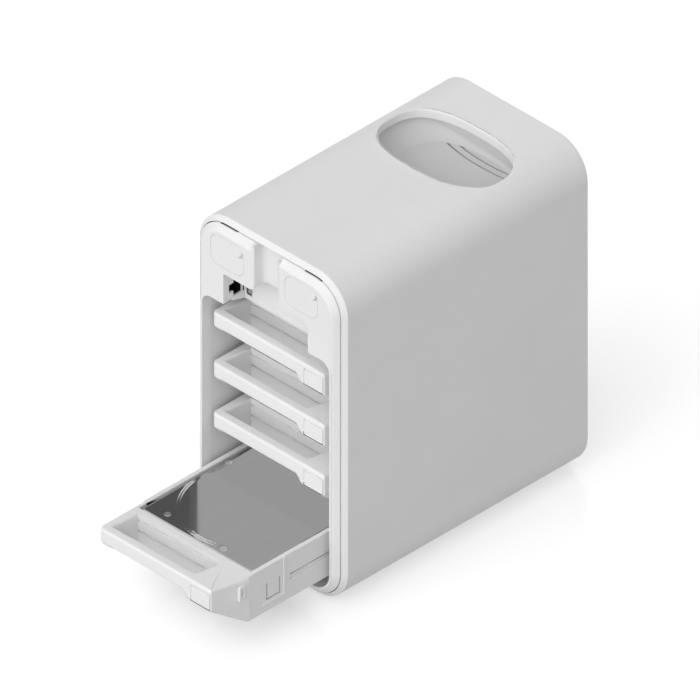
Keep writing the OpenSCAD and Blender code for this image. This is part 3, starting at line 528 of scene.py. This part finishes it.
# ---------------------------------------------------------------- stage
AMBIENT = 0.335                # even part of the light, from everywhere
KEY = 2.25                     # broad part of the light, strongest from KEY_FROM
KEY_POWER = 4                  # how narrow that part is
KEY_FROM = (0.155, -0.825, 0.543)
MIRRORED = 1.0                 # how bright the studio looks in a mirror
FLOOR_HALF = 30                # half the floor's width, in metres
FLOOR_GLOW = 0.36
LID_MIRROR = Vector((-0.579, 0.579, 0.574))    # the way the camera's view leaves a level mirror
CARD_REACH = 0.16              # how far along it the dark card stands
CARD_LEFT, CARD_RIGHT = 0.035, 0.055           # its sides, either way from the drive's left side
CARD_NEAR, CARD_FAR = 0.04, 0.085              # its ends, before and behind the drive's front
CASE_GAP = 0.0005              # how far before the bezel the upright cards stand
LID_GAP = 0.0025               # how far above the lid the cards start
EDGE_BAND = 0.006              # width of the case's darker left edge, as mirrored
EDGE_OUT = 0.001               # how far that edge's card passes the case
CASE_DEPTH = 0.09              # how far into the case the lowest card runs
DARK_GLOW, EDGE_GLOW, PALE_GLOW, UNDER_GLOW = 0.13, 0.17, 0.56, 0.54


def glowing_sheet(name, corners, strength, material_name, color, roughness, specular):
    """A flat four-cornered sheet that gives off white light."""
    mesh = bpy.data.meshes.new(name)
    mesh.from_pydata(corners, [], [(0, 1, 2, 3)])
    material, _, shader = new_material(material_name, color, roughness, specular=specular)
    shader.inputs["Emission Color"].default_value = (1, 1, 1, 1)
    shader.inputs["Emission Strength"].default_value = strength
    mesh.materials.append(material)
    return bpy.data.objects.new(name, mesh)


def add_floor():
    """A plain pale sheet, a little glossy."""
    half = FLOOR_HALF
    corners = [(-half, -half, 0), (half, -half, 0), (half, half, 0), (-half, half, 0)]
    floor = glowing_sheet("floor", corners, FLOOR_GLOW, "floor_sheet", grey(0.9), 0.16, 0.75)
    floor.visible_diffuse = False
    scene.collection.objects.link(floor)


def glow_card(name, corners, strength):
    """A card that only reflections see."""
    card = glowing_sheet(name, corners, strength, name, grey(0), 1, 0)
    card.visible_camera = card.visible_diffuse = card.visible_shadow = card.visible_transmission = False
    scene.collection.objects.link(card)


def add_cards():
    """What the open drive's lid mirrors: a dark studio on the left, and the plain pale front of the case."""
    low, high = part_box("drive_lid_4")
    shift = LID_MIRROR * CARD_REACH
    left, right = low.x - CARD_LEFT + shift.x, low.x + CARD_RIGHT + shift.x
    near, far = low.y - CARD_NEAR + shift.y, low.y + CARD_FAR + shift.y
    z = high.z + shift.z
    glow_card("dark_card", [(left, near, z), (right, near, z), (right, far, z), (left, far, z)], DARK_GLOW)

    case_low, case_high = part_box("outer_shell")
    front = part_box("front_bezel")[0].y - CASE_GAP
    base, top = high.z + LID_GAP, case_high.z

    def upright(name, start, end, strength):
        corners = [(start, front, base), (end, front, base), (end, front, top), (start, front, top)]
        glow_card(name, corners, strength)

    edge = case_low.x + EDGE_BAND
    upright("edge_card", case_low.x - EDGE_OUT, edge, EDGE_GLOW)
    upright("pale_card", edge, case_high.x, PALE_GLOW)
    back = front + CASE_DEPTH
    glow_card("under_card", [(low.x, front, base), (high.x, front, base), (high.x, back, base),
                             (low.x, back, base)], UNDER_GLOW)


def add_world():
    """A studio lit broadly from the front and above, and plain white where a glossy surface mirrors it."""
    world = bpy.data.worlds.new("studio")
    world.use_nodes = True
    scene.world = world
    tree = world.node_tree
    toward = tree.nodes.new("ShaderNodeTexCoord")
    facing = tree.nodes.new("ShaderNodeVectorMath")
    facing.operation = "DOT_PRODUCT"
    facing.inputs[1].default_value = KEY_FROM
    tree.links.new(toward.outputs["Generated"], facing.inputs[0])
    lobe = tree.nodes.new("ShaderNodeMath")
    lobe.operation = "MAXIMUM"
    lobe.inputs[1].default_value = 0
    tree.links.new(facing.outputs["Value"], lobe.inputs[0])
    narrow = tree.nodes.new("ShaderNodeMath")
    narrow.operation = "POWER"
    narrow.inputs[1].default_value = KEY_POWER
    tree.links.new(lobe.outputs["Value"], narrow.inputs[0])
    light = tree.nodes.new("ShaderNodeMath")
    light.operation = "MULTIPLY_ADD"
    light.inputs[1].default_value = KEY
    light.inputs[2].default_value = AMBIENT
    tree.links.new(narrow.outputs["Value"], light.inputs[0])
    path = tree.nodes.new("ShaderNodeLightPath")
    mix = tree.nodes.new("ShaderNodeMix")
    mix.data_type = "FLOAT"
    mix.inputs["A"].default_value = MIRRORED
    tree.links.new(light.outputs["Value"], mix.inputs["B"])
    tree.links.new(path.outputs["Is Diffuse Ray"], mix.inputs["Factor"])
    tree.links.new(mix.outputs["Result"], tree.nodes["Background"].inputs["Color"])


add_camera()
add_floor()
add_cards()
add_world()
materials = make_materials()
dress_nodes(materials)
add_handles(materials)
add_bezel(materials)
add_lids(materials)
add_scoop(materials)
